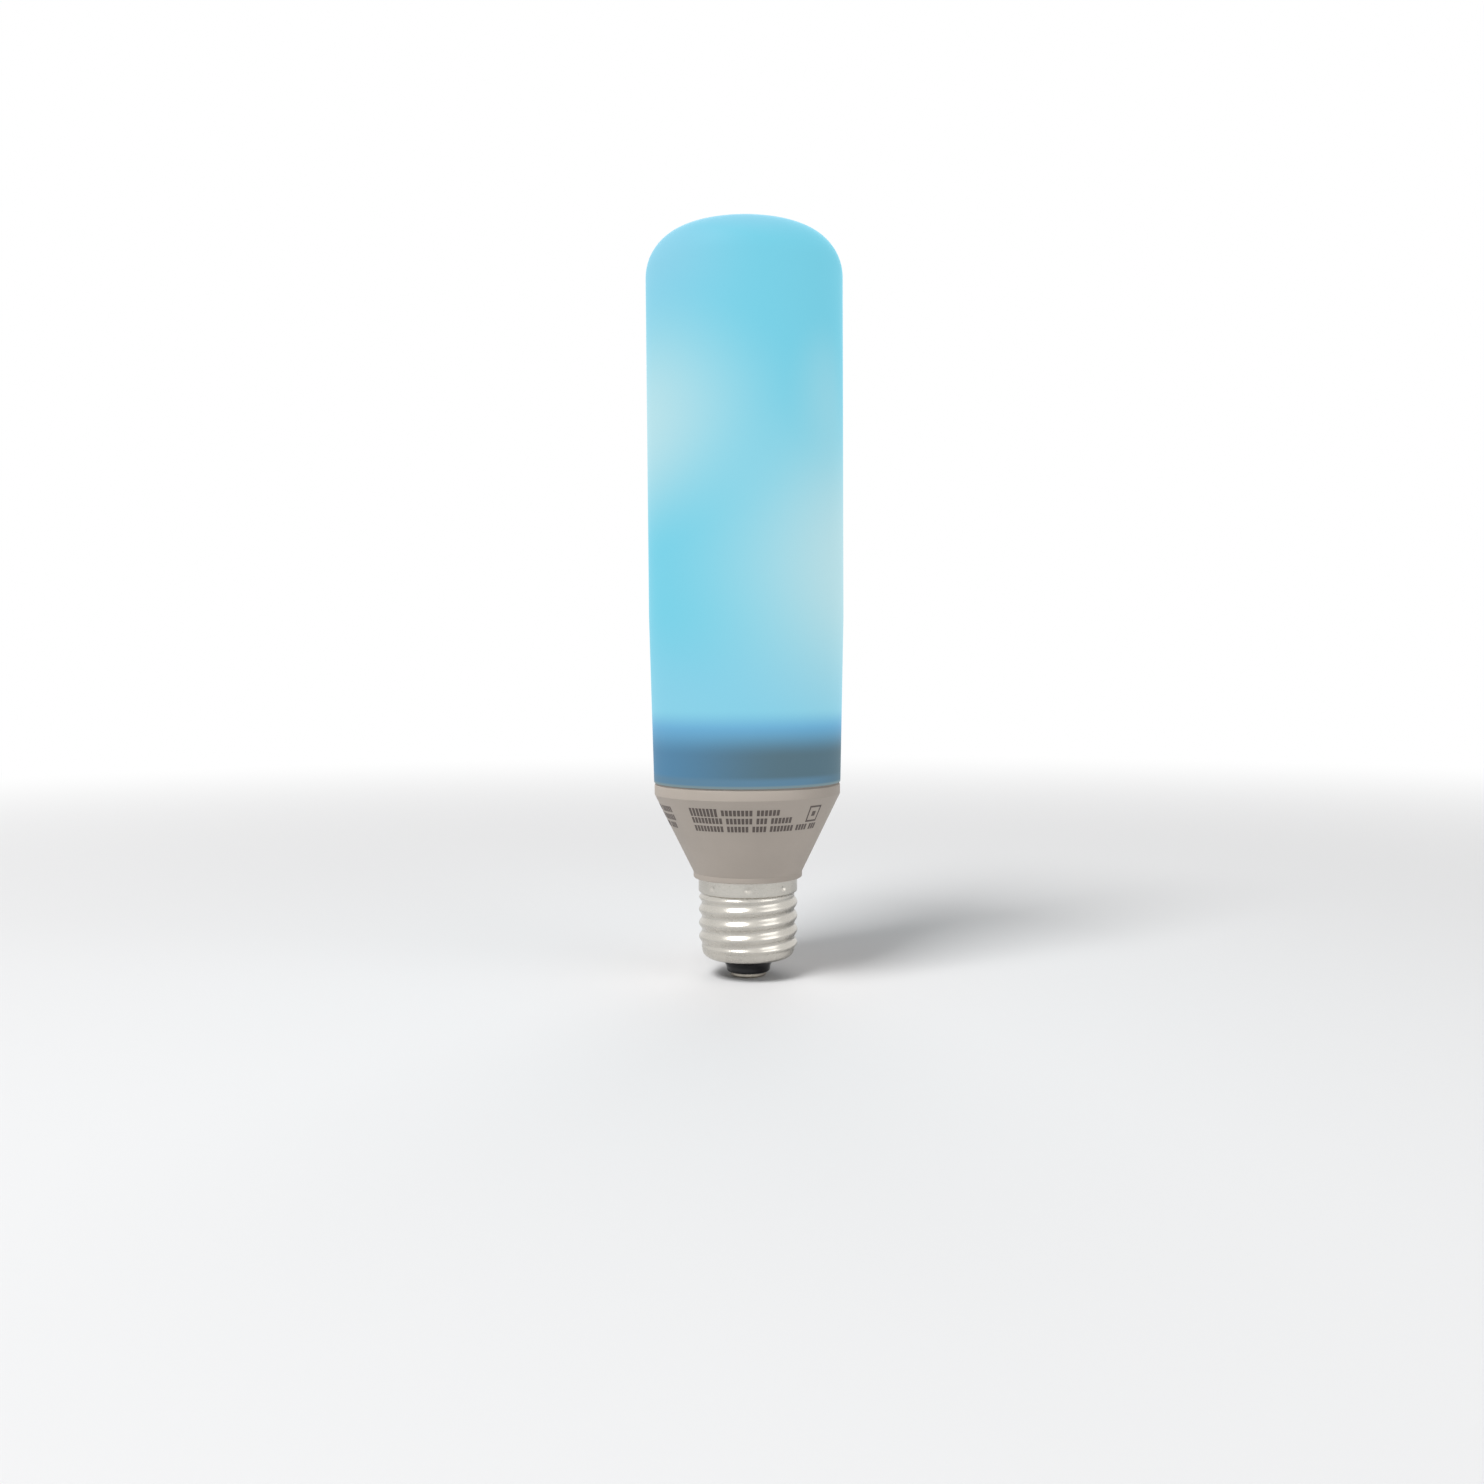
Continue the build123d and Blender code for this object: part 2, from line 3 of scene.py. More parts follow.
import bpy
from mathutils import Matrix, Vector


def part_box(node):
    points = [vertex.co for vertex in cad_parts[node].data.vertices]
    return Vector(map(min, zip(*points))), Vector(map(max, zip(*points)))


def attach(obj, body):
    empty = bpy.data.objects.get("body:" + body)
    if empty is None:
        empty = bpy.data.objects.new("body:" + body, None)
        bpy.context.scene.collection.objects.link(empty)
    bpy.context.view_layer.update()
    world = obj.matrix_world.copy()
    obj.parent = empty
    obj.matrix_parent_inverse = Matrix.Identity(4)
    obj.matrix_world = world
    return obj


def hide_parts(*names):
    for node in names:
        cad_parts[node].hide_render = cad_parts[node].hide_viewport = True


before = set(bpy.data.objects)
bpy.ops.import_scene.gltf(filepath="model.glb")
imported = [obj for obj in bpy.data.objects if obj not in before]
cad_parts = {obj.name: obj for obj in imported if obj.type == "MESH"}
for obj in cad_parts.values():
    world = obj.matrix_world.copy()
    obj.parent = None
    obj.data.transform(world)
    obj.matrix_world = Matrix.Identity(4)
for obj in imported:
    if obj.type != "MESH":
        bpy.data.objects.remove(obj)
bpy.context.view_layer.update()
mm = 0.001

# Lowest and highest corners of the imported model's outer nodes, in millimetres
tubeLow, tubeHigh = (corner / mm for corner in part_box("diffuser"))
housingLow, housingHigh = (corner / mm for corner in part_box("housing"))
shellLow, shellHigh = (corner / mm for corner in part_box("screw_shell"))
insulatorLow, insulatorHigh = (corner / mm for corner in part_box("cap_insulator"))
contactLow, contactHigh = (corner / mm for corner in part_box("centre_contact"))


# Materials. Depths are in millimetres, scales in cells a metre
noiseSpan = (0.3, 0.7)  # most of a noise lies between these
plastic = {"driftScale": 60.0, "grainDepth": 0.03, "smoother": 0.06, "rougher": 0.08}
metal = {"cloudScale": 90.0, "toneSpan": (0.35, 0.65), "scratchDepth": 0.02, "smoother": 0.05, "rougher": 0.10}
board = {"roughness": 0.28, "trackScale": 420.0, "trackSpan": (0.42, 0.50), "bump": 0.3, "trackDepth": 0.04}
winding = {"sway": 0.4, "grooveShade": 0.55, "bump": 0.5, "turnDepth": 0.1}


def srgb(*screen):
    # A screen colour from 0 to 255 as a linear one, by the sRGB curve
    linear = [((c / 255 + 0.055) / 1.055) ** 2.4 if c > 10 else c / 255 / 12.92 for c in screen]
    return (*linear, 1.0)


def shifted(colour, amount):
    # The same colour lighter, or with a negative amount darker, by that share of itself
    return (*(min(1.0, c * (1 + amount)) for c in colour[:3]), 1.0)


def newMaterial(name, roughness, metallic=0.0):
    material = bpy.data.materials.new(name)
    material.use_nodes = True
    tree = material.node_tree
    shader = tree.nodes["Principled BSDF"]
    shader.inputs["Roughness"].default_value = roughness
    shader.inputs["Metallic"].default_value = metallic
    place = tree.nodes.new("ShaderNodeTexCoord").outputs["Object"]
    return material, tree, shader, place


def mathNode(tree, operation, first, second=None, third=None):
    node = tree.nodes.new("ShaderNodeMath")
    node.operation = operation
    for socket, value in zip(node.inputs, (first, second, third)):
        if isinstance(value, (int, float)):
            socket.default_value = value
        elif value is not None:
            tree.links.new(value, socket)
    return node.outputs[0]


def noiseNode(tree, place, scale, detail=3.0, roughness=0.55, stretch=(1, 1, 1)):
    mapping = tree.nodes.new("ShaderNodeMapping")
    mapping.inputs["Scale"].default_value = stretch
    tree.links.new(place, mapping.inputs["Vector"])
    noise = tree.nodes.new("ShaderNodeTexNoise")
    noise.inputs["Scale"].default_value = scale
    noise.inputs["Detail"].default_value = detail
    noise.inputs["Roughness"].default_value = roughness
    tree.links.new(mapping.outputs["Vector"], noise.inputs["Vector"])
    return noise.outputs["Fac"]


def rangeNode(tree, value, span, toLow=0.0, toHigh=1.0):
    # A soft step from toLow to toHigh while the value crosses the span
    node = tree.nodes.new("ShaderNodeMapRange")
    node.interpolation_type = "SMOOTHSTEP"
    tree.links.new(value, node.inputs["Value"])
    for name, number in (("From Min", span[0]), ("From Max", span[1]), ("To Min", toLow), ("To Max", toHigh)):
        node.inputs[name].default_value = number
    return node.outputs["Result"]


def mixNode(tree, factor, first, second):
    node = tree.nodes.new("ShaderNodeMix")
    node.data_type = "RGBA"
    tree.links.new(factor, node.inputs[0])
    for socket, value in ((node.inputs[6], first), (node.inputs[7], second)):  # the colour sockets A and B
        if isinstance(value, tuple):
            socket.default_value = value
        else:
            tree.links.new(value, socket)
    return node.outputs[2]


def bumpNode(tree, shader, height, strength, depth):
    bump = tree.nodes.new("ShaderNodeBump")
    bump.inputs["Strength"].default_value = strength
    bump.inputs["Distance"].default_value = depth * mm
    tree.links.new(height, bump.inputs["Height"])
    tree.links.new(bump.outputs["Normal"], shader.inputs["Normal"])


def plasticFinish(name, colour, roughness, grain=1500.0, shift=0.06, strength=0.25):
    # Moulded plastic with a fine spark texture and a slight drift of tone
    material, tree, shader, place = newMaterial(name, roughness)
    tone = rangeNode(tree, noiseNode(tree, place, plastic["driftScale"]), noiseSpan)
    mixed = mixNode(tree, tone, shifted(colour, -shift), shifted(colour, shift))
    tree.links.new(mixed, shader.inputs["Base Color"])
    spark = noiseNode(tree, place, grain, detail=2.0)
    rough = rangeNode(tree, spark, noiseSpan, roughness - plastic["smoother"], roughness + plastic["rougher"])
    tree.links.new(rough, shader.inputs["Roughness"])
    bumpNode(tree, shader, spark, strength, plastic["grainDepth"])
    return material


def metalFinish(name, colour, roughness, stretch=(1, 1, 12), scratch=900.0, shift=0.08, strength=0.12):
    # Rolled, turned or plated metal: fine streaks that change the tone and the gloss
    material, tree, shader, place = newMaterial(name, roughness, metallic=1.0)
    streak = noiseNode(tree, place, scratch, detail=4.0, stretch=stretch)
    cloud = noiseNode(tree, place, metal["cloudScale"], detail=4.0)
    wear = mathNode(tree, "MULTIPLY", mathNode(tree, "ADD", streak, cloud), 0.5)
    tone = rangeNode(tree, wear, metal["toneSpan"])
    mixed = mixNode(tree, tone, shifted(colour, -shift), shifted(colour, shift))
    tree.links.new(mixed, shader.inputs["Base Color"])
    rough = rangeNode(tree, wear, noiseSpan, roughness + metal["rougher"], roughness - metal["smoother"])
    tree.links.new(rough, shader.inputs["Roughness"])
    bumpNode(tree, shader, streak, strength, metal["scratchDepth"])
    return material


def boardFinish(name, mask, copper):
    # Solder mask over copper tracks
    material, tree, shader, place = newMaterial(name, board["roughness"])
    cells = tree.nodes.new("ShaderNodeTexVoronoi")
    cells.distance = "MANHATTAN"
    cells.feature = "F1"
    cells.inputs["Scale"].default_value = board["trackScale"]
    tree.links.new(place, cells.inputs["Vector"])
    track = rangeNode(tree, cells.outputs["Distance"], board["trackSpan"])
    tree.links.new(mixNode(tree, track, copper, mask), shader.inputs["Base Color"])
    bumpNode(tree, shader, track, board["bump"], board["trackDepth"])
    return material


def windingFinish(name, colour, turns, roughness):
    # Wound wire or tape: one ridge for each turn along Z, with painted shade in the grooves between turns
    material, tree, shader, place = newMaterial(name, roughness)
    wave = tree.nodes.new("ShaderNodeTexWave")
    wave.bands_direction = "Z"
    wave.inputs["Scale"].default_value = turns
    wave.inputs["Distortion"].default_value = winding["sway"]
    tree.links.new(place, wave.inputs["Vector"])
    # Painted shade: the colour is darker in the grooves between turns
    darker = shifted(colour, winding["grooveShade"] - 1)
    tree.links.new(mixNode(tree, wave.outputs["Fac"], darker, colour), shader.inputs["Base Color"])
    bumpNode(tree, shader, wave.outputs["Fac"], winding["bump"], winding["turnDepth"])
    return material


print("materials ready")


# Shaping helpers. Profiles are lists of radius and height in millimetres
edgeSegments = 3
mergeGap = 0.002


def deselectAll():
    if bpy.context.object and bpy.context.object.mode == "EDIT":
        bpy.ops.object.mode_set(mode="OBJECT")
    bpy.ops.object.select_all(action="DESELECT")


def linePoints(start, end, steps):
    # Evenly spaced points from start to end
    return [tuple(a + (b - a) * i / steps for a, b in zip(start, end)) for i in range(steps + 1)]


def arcPoints(centre, radius, startAngle, endAngle, steps):
    # Points on an arc, angles in degrees from the outward direction
    turns = [math.radians(startAngle + (endAngle - startAngle) * i / steps) for i in range(steps + 1)]
    return [(centre[0] + radius * math.cos(a), centre[1] + radius * math.sin(a)) for a in turns]


def drawRings(profile, segments):
    # A circle extruded through every ring of the profile, left in edit mode with the last ring selected
    deselectAll()
    radius, height = profile[0]
    bpy.ops.mesh.primitive_circle_add(vertices=segments, radius=radius * mm)
    bpy.ops.object.mode_set(mode="EDIT")
    bpy.ops.transform.translate(value=(0, 0, height * mm))
    for nextRadius, nextHeight in profile[1:]:
        rise = (0, 0, (nextHeight - height) * mm)
        bpy.ops.mesh.extrude_region_move(TRANSFORM_OT_translate={"value": rise})
        scale = nextRadius / radius
        bpy.ops.transform.resize(value=(scale, scale, 1), center_override=(0, 0, nextHeight * mm))
        radius, height = nextRadius, nextHeight


def closeRings():
    # Merges rings that meet, closes what is open and points the faces outwards
    bpy.ops.mesh.select_all(action="SELECT")
    bpy.ops.mesh.remove_doubles(threshold=mergeGap * mm)
    bpy.ops.mesh.fill_holes(sides=0)
    bpy.ops.mesh.select_all(action="SELECT")
    bpy.ops.mesh.normals_make_consistent(inside=False)
    bpy.ops.object.mode_set(mode="OBJECT")


def addThickness(piece, thickness):
    # Turns a sheet into a closed wall, inwards from the sheet
    wall = piece.modifiers.new("wall", "SOLIDIFY")
    wall.thickness = thickness * mm
    wall.offset = -1
    bpy.ops.object.modifier_apply(modifier="wall")


def finishPiece(name, material, slotName, *replacedNodes, edge=0.0, edgeAngle=30, smoothAngle=35):
    piece = bpy.context.object
    piece.name = piece.data.name = name
    if edge:
        bevel = piece.modifiers.new("edges", "BEVEL")
        bevel.width = edge * mm
        bevel.segments = edgeSegments
        bevel.limit_method = "ANGLE"
        bevel.angle_limit = math.radians(edgeAngle)
        bpy.ops.object.modifier_apply(modifier="edges")
    bpy.ops.object.shade_smooth_by_angle(angle=math.radians(smoothAngle))
    piece.data.materials.clear()
    piece.data.materials.append(material)
    if replacedNodes:
        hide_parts(*replacedNodes)
    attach(piece, "root")
    print(name, "made,", len(piece.data.polygons), "faces")


# Frosted tube. Its glow is painted light: emission colours on the tube stand in for the light of the LEDs
# inside
tube = {
    "segments": 160, "taper": 43.0, "crownRadius": 11.3, "crownFlat": 7.0, "mouthInset": 0.9, "wall": 1.3,
    "pole": 0.02, "taperRings": 6, "straightRings": 8, "crownRings": 20, "insideRings": 8, "edge": 0.25,
    # Colours of the painted glow: the lit zones, the painted shade of the dim band below the LEDs, and the
    # painted light line and mouth at the foot
    "cyan": (123, 210, 232), "sky": (143, 210, 233), "pale": (186, 226, 234), "blue": (112, 177, 216),
    "dimBlue": (88, 136, 170), "dimGrey": (91, 118, 131), "line": (98, 135, 160), "mouth": (126, 146, 152),
    "glow": 0.82, "body": 0.17, "gloss": 0.04, "roughness": 0.5, "grain": 2600.0, "grainBump": 0.10,
    "grainDepth": 0.04,
    # Where each painted light or shade zone begins and where it is full: its height (Z), or its place across
    # the tube (X)
    "crownUp": (150.0, 190.0), "crownAcross": (7.0, -23.0), "lidUp": (184.0, 193.0), "lidAcross": (24.0, 2.0),
    "lowerUp": (98.0, 72.0), "blueUp": (71.5, 65.7), "dimUp": (68.0, 59.5),
    "greyAcross": (-25.0, 10.0), "lineAcross": (29.0, 13.0),
    "lowerMost": 0.75,  # how much of the lower zone's tint shows where it is full
    # The same as heights over the tube's mouth
    "lineUp": (3.2, 1.7), "mouthUp": (0.9, 0.3),
    # Centres of the paler zones, painted pools of LED light, and how far each reaches: three in front, three
    # behind, one on top
    "patches": [((-14.8, -6.1, 144.3), 35.7), ((25.6, -7.6, 107.0), 49.9), ((34.1, -25.8, 150.7), 26.0),
                ((5.0, 29.0, 150.0), 40.0), ((-13.0, 28.0, 100.0), 42.0), ((20.0, 20.0, 80.0), 27.0),
                ((0.0, 0.0, 200.0), 22.0)],
    "patchCore": 0.1,  # the part of its reach inside which a zone is palest
}


def opalGlow():
    # Painted light from inside: emission colours stand in for the LEDs' light, with paler zones as painted
    # pools of light, a dim band of painted shade below the LEDs and a thin painted light line at the foot
    material, tree, shader, place = newMaterial("opalGlow", tube["roughness"])
    split = tree.nodes.new("ShaderNodeSeparateXYZ")
    tree.links.new(place, split.inputs["Vector"])
    across, height = split.outputs["X"], split.outputs["Z"]

    def share(value, span, start=0.0):
        # 0 to 1 over a span given in millimetres
        return rangeNode(tree, value, [(start + end) * mm for end in span])

    def tint(colour, factor, name):
        return mixNode(tree, factor, colour, srgb(*tube[name]))

    # Painted light: a paler sky tint over the crown, stronger towards -X, and over the top
    crown = mathNode(tree, "MULTIPLY", share(height, tube["crownUp"]), share(across, tube["crownAcross"]))
    lid = mathNode(tree, "MULTIPLY", share(height, tube["lidUp"]), share(across, tube["lidAcross"]))
    colour = tint(srgb(*tube["cyan"]), mathNode(tree, "MAXIMUM", crown, lid), "sky")
    # Painted light: a paler sky tint that grows downwards over the lower part of the glow
    lower = mathNode(tree, "MULTIPLY", share(height, tube["lowerUp"]), tube["lowerMost"])
    colour = tint(colour, lower, "sky")
    # Painted pools of light where the LEDs inside shine most
    for centre, reach in tube["patches"]:
        gap = tree.nodes.new("ShaderNodeVectorMath")
        gap.operation = "DISTANCE"
        gap.inputs[1].default_value = Vector(centre) * mm
        tree.links.new(place, gap.inputs[0])
        colour = tint(colour, share(gap.outputs["Value"], (reach, reach * tube["patchCore"])), "pale")
    # Below the lowest LEDs the light fades to blue and then to the grey of stray light: painted shade, bluer
    # towards -X and greyer towards +X
    colour = tint(colour, share(height, tube["blueUp"]), "blue")
    dim = tint(srgb(*tube["dimBlue"]), share(across, tube["greyAcross"]), "dimGrey")
    colour = mixNode(tree, share(height, tube["dimUp"]), colour, dim)
    # Painted light at the foot: a thin lighter line just over the mouth, fading out towards +X, and a paler
    # tint on the mouth's very edge
    lineHeight = share(height, tube["lineUp"], tubeLow.z)
    colour = tint(colour, mathNode(tree, "MULTIPLY", lineHeight, share(across, tube["lineAcross"])), "line")
    colour = tint(colour, share(height, tube["mouthUp"], tubeLow.z), "mouth")

    body = tree.nodes.new("ShaderNodeVectorMath")
    body.operation = "SCALE"
    body.inputs["Scale"].default_value = tube["body"]
    tree.links.new(colour, body.inputs[0])
    tree.links.new(body.outputs["Vector"], shader.inputs["Base Color"])
    tree.links.new(colour, shader.inputs["Emission Color"])
    shader.inputs["Emission Strength"].default_value = tube["glow"]
    shader.inputs["Specular IOR Level"].default_value = tube["gloss"]
    frost = noiseNode(tree, place, tube["grain"], detail=2.0)
    bumpNode(tree, shader, frost, tube["grainBump"], tube["grainDepth"])
    return material


def makeTube():
    radius, low, top = tubeHigh.x, tubeLow.z, tubeHigh.z
    mouth = radius - tube["mouthInset"]
    wall, crown, pole = tube["wall"], tube["crownRadius"], tube["pole"]
    taperTop = low + tube["taper"]
    crownCentre = (radius - crown, top - crown)
    outside = linePoints((mouth, low), (radius, taperTop), tube["taperRings"])
    outside += linePoints((radius, taperTop), (radius, top - crown), tube["straightRings"])[1:-1]
    outside += arcPoints(crownCentre, crown, 0, 90, tube["crownRings"])
    outside += [(radius - crown - tube["crownFlat"], top), (pole, top)]
    inside = [(pole, top - wall)]
    inside += arcPoints(crownCentre, crown - wall, 90, 0, tube["insideRings"])
    inside += [(radius - wall, taperTop), (mouth - wall, low), (mouth, low)]
    drawRings(outside, tube["segments"])
    bpy.ops.mesh.merge(type="CENTER")
    bpy.ops.object.mode_set(mode="OBJECT")
    outerWall = bpy.context.object
    drawRings(inside, tube["segments"])
    bpy.ops.object.mode_set(mode="OBJECT")
    outerWall.select_set(True)
    bpy.ops.object.join()
    bpy.ops.object.mode_set(mode="EDIT")
    closeRings()
    finishPiece("frosted_tube", opalGlow(), "opal_tube", "diffuser", edge=tube["edge"], edgeAngle=50)


makeTube()


# Housing: a collar, a cone and a spigot that the tube sits over
housing = {
    "segments": 160, "colour": (176, 166, 156), "collarHeight": 2.6, "spigotHeight": 11.5, "spigotGap": 0.3,
    "coneAngle": 26.0, "coneRings": 8, "shoulderRadius": 14.4, "shoulderHeight": 1.5, "neckInset": 1.3,
    "neckWall": 1.4, "wall": 1.8, "insideDrop": 2.6, "edge": 0.35,
}
collarRadius = housingHigh.x
collarTop = housingHigh.z - housing["spigotHeight"]
collarStart = collarTop - housing["collarHeight"]
coneSlope = math.tan(math.radians(housing["coneAngle"]))


def makeHousing():
    shoulder, drop = housing["shoulderRadius"], housing["insideDrop"]
    coneStart = collarStart - (collarRadius - shoulder) / coneSlope
    capTop = coneStart - housing["shoulderHeight"]
    spigot = tubeHigh.x - tube["mouthInset"] - tube["wall"] - housing["spigotGap"]
    spigotBore = spigot - housing["wall"]
    neck = shellHigh.x - housing["neckInset"]
    neckBore = neck - housing["neckWall"]
    profile = [(neck, housingLow.z), (neck, capTop), (shoulder, capTop)]
    profile += linePoints((shoulder, coneStart), (collarRadius, collarStart), housing["coneRings"])
    profile += [(collarRadius, collarTop), (spigot, collarTop), (spigot, housingHigh.z)]
    profile += [(spigotBore, housingHigh.z), (spigotBore, collarStart - drop)]
    profile += [(neckBore, capTop - drop), (neckBore, housingLow.z), (neck, housingLow.z)]
    drawRings(profile, housing["segments"])
    closeRings()
    finish = plasticFinish("housingPlastic", srgb(*housing["colour"]), roughness=0.55, shift=0.03)
    finishPiece("housing_body", finish, "housing_plastic", "housing", edge=housing["edge"], smoothAngle=24)


makeHousing()


# Rows of small plain blocks where the cone is printed, and a plain square mark
printing = {
    "colour": (92, 82, 77), "lift": 0.03, "depth": 0.06, "meanRadius": 0.92, "barStep": 0.7,
    "firstRow": 45.6, "leading": 2.12, "blockHeight": 1.5, "headlineHeight": 2.1,
    "blockWidth": 0.72, "blockGap": 0.28, "groupGap": 1.1,
    # Each field: its left edge in degrees from the front, then the number of blocks in each group, row by row
    "fields": [(-39.0, [[8, 8, 6], [9, 7, 3, 6], [9, 6, 4, 7, 4, 3]]), (-87.0, [[5, 6], [4, 7], [6, 4]])],
    "markAngle": 42.5, "markLow": 42.6, "markSize": 4.2, "markLine": 0.45, "markClear": 0.02, "markCore": 0.3,
}
printRadius = collarRadius * printing["meanRadius"]


def conePoint(angle, height):
    # A point just over the cone, at an angle from the front in radians and a height in millimetres
    radius = collarRadius - (collarStart - height) * coneSlope + printing["lift"]
    return Vector((radius * math.sin(angle), -radius * math.cos(angle), height)) * mm


def addBar(left, low, width, tall):
    # A flat bar bent onto the cone, from its left edge in radians and its lower edge in millimetres
    deselectAll()
    steps = max(1, round(width / printing["barStep"]))
    bpy.ops.mesh.primitive_grid_add(x_subdivisions=steps, y_subdivisions=1, size=1)
    bar = bpy.context.object
    for vertex in bar.data.vertices:
        across, up = vertex.co.x + 0.5, vertex.co.y + 0.5
        vertex.co = conePoint(left + across * width / printRadius, low + up * tall)
    return bar


def addGroup(left, middle, tall, count):
    # One group of blocks, which gives back the angle where the next group starts
    bars = []
    for _ in range(count):
        bars.append(addBar(left, middle - tall / 2, printing["blockWidth"], tall))
        left += (printing["blockWidth"] + printing["blockGap"]) / printRadius
    return bars, left + (printing["groupGap"] - printing["blockGap"]) / printRadius


def addMark():
    # A plain square frame of four bars, a hair apart at the corners, with a smaller square inside it
    left, low = math.radians(printing["markAngle"]), printing["markLow"]
    size, line = printing["markSize"], printing["markLine"]
    uprightLow = low + line + printing["markClear"]
    upright = size - 2 * (line + printing["markClear"])
    far = left + (size - line) / printRadius
    core = size * printing["markCore"]
    return [
        addBar(left, low, size, line), addBar(left, low + size - line, size, line),
        addBar(left, uprightLow, line, upright), addBar(far, uprightLow, line, upright),
        addBar(left + (size - core) / 2 / printRadius, low + (size - core) / 2, core, core),
    ]


def makePrint():
    bars = addMark()
    tall = printing["headlineHeight"]  # only the very first group is taller
    for leftEdge, rows in printing["fields"]:
        for row, groups in enumerate(rows):
            middle = printing["firstRow"] - row * printing["leading"]
            reach = math.radians(leftEdge)
            for count in groups:
                group, reach = addGroup(reach, middle, tall, count)
                bars += group
                tall = printing["blockHeight"]
    deselectAll()
    for bar in bars:
        bar.select_set(True)
    bpy.context.view_layer.objects.active = bars[0]
    bpy.ops.object.join()
    addThickness(bars[0], printing["depth"])
    ink = plasticFinish("printInk", srgb(*printing["colour"]), roughness=0.5, grain=2200.0, shift=0.12)
    finishPiece("print_blocks", ink, "housing_plastic")


makePrint()


# Screw shell: a sheet rolled into a thread, with a crimped skirt and a lip that turns in
shell = {
    "segments": 240, "rowHeight": 0.22, "wall": 0.35, "colour": (196, 192, 184),
    "threadDepth": 0.8, "pitch": 3.629, "threadStart": 8.75, "runOutLow": 1.4, "runOutHigh": 1.2,
    "skirt": 3.6, "flare": 0.7, "lipRadius": 9.6, "lipRise": 2.4, "lipPower": 0.9,
    "crimps": 8, "crimpCore": 0.25, "crimpRadius": 0.85, "crimpDepth": 0.34,
}


def ease(value, low, high):
    # A soft step from 0 to 1
    part = min(1.0, max(0.0, (value - low) / (high - low)))
    return part * part * (3 - 2 * part)


def crimpShare(angle, height):
    # 1 in the middle of a punched crimp and 0 outside it
    step = 2 * math.pi / shell["crimps"]
    offset = (angle + step / 2) % step - step / 2
    gap = math.hypot(offset * shellHigh.x, height - (shellHigh.z - shell["skirt"] / 2))
    return 1 - ease(gap, shell["crimpCore"], shell["crimpRadius"])


def shellRadius(angle, height):
    # Radius of the rolled sheet at a place on the shell, in millimetres
    root = shellHigh.x - shell["threadDepth"]
    skirtStart = shellHigh.z - shell["skirt"]
    flareStart = skirtStart - shell["flare"]
    lipTop = shellLow.z + shell["lipRise"]
    if height <= lipTop:
        turn = math.acos(min(1.0, max(0.0, (lipTop - height) / shell["lipRise"])))
        return shell["lipRadius"] + (root - shell["lipRadius"]) * math.sin(turn) ** shell["lipPower"]
    if height >= flareStart:
        radius = root + shell["threadDepth"] * ease(height, flareStart, skirtStart)
        return radius - shell["crimpDepth"] * crimpShare(angle, height)
    turns = (height - shell["threadStart"]) / shell["pitch"] - angle / (2 * math.pi)
    wave = 0.5 + 0.5 * math.cos(2 * math.pi * turns)
    fade = ease(height, lipTop, lipTop + shell["runOutLow"])
    fade *= 1 - ease(height, flareStart - shell["runOutHigh"], flareStart)
    return root + shell["threadDepth"] * fade * wave


def makeShell():
    rows = int((shellHigh.z - shellLow.z) / shell["rowHeight"])
    drawRings(linePoints((shellHigh.x, shellLow.z), (shellHigh.x, shellHigh.z), rows), shell["segments"])
    bpy.ops.mesh.select_all(action="SELECT")
    bpy.ops.mesh.normals_make_consistent(inside=False)
    bpy.ops.object.mode_set(mode="OBJECT")
    piece = bpy.context.object
    for vertex in piece.data.vertices:
        angle = math.atan2(vertex.co.y, vertex.co.x)
        radius = shellRadius(angle, vertex.co.z / mm) * mm
        vertex.co = Vector((radius * math.cos(angle), radius * math.sin(angle), vertex.co.z))
    addThickness(piece, shell["wall"])
    finish = metalFinish("nickelCap", srgb(*shell["colour"]), roughness=0.24, stretch=(1, 1, 10))
    finishPiece("threaded_shell", finish, "cap_metal", "screw_shell", smoothAngle=50)


makeShell()


# Insulator: its nose below the shell's lip, a flank that swells out to the lip, and a flange and hub inside
insulator = {
    "segments": 96, "colour": (26, 26, 29), "nose": 5.8, "noseRound": 0.6, "noseAngle": -10, "noseRings": 5,
    "flankRise": 0.7, "flankRings": 10, "lipGap": 0.05, "lipClear": 0.1, "flange": 10.8, "flangeTop": 3.5,
    "hub": 3.2, "hole": 1.55, "edge": 0.12,
}


def makeInsulator():
    low, top = insulatorLow.z, insulatorHigh.z
    nose, rounding = insulator["nose"], insulator["noseRound"]
    flange, hub, hole = insulator["flange"], insulator["hub"], insulator["hole"]
    lipBore = shell["lipRadius"] - insulator["lipClear"]
    lipTop = shellLow.z + shell["lipRise"]
    flangeTop = shellLow.z + insulator["flangeTop"]
    flankLow, flankHigh = low + insulator["flankRise"], shellLow.z - insulator["lipGap"]
    profile = [(hole, low)]
    profile += arcPoints((nose - rounding, low + rounding), rounding, -90, insulator["noseAngle"],
                         insulator["noseRings"])
    for i in range(1, insulator["flankRings"] + 1):
        turn = i / insulator["flankRings"] * math.pi / 2
        profile.append((nose + (lipBore - nose) * (1 - math.cos(turn)),
                        flankLow + (flankHigh - flankLow) * math.sin(turn)))
    profile += [(lipBore, lipTop), (flange, lipTop), (flange, flangeTop), (hub, flangeTop)]
    profile += [(hub, top), (hole, top), (hole, low)]
    drawRings(profile, insulator["segments"])
    closeRings()
    glass = plasticFinish("blackInsulator", srgb(*insulator["colour"]), 0.16, grain=500.0, strength=0.05)
    finishPiece("insulator_cone", glass, "insulator_black", "cap_insulator", edge=insulator["edge"],
                edgeAngle=50)


makeInsulator()


# Centre contact: a riveted pad with a rolled rim and a dish in its tip
contact = {
    "segments": 96, "colour": (188, 182, 170), "rivet": 1.5, "pad": 4.75, "rimRound": 0.45, "rimHeight": 0.5,
    "rimAngle": 20, "rimRings": 6,
    # Radius and height of the dish's rings
    "dish": [(2.0, 0.0), (1.6, 0.12), (1.3, 0.42), (0.9, 0.55), (0.3, 0.58)],
}


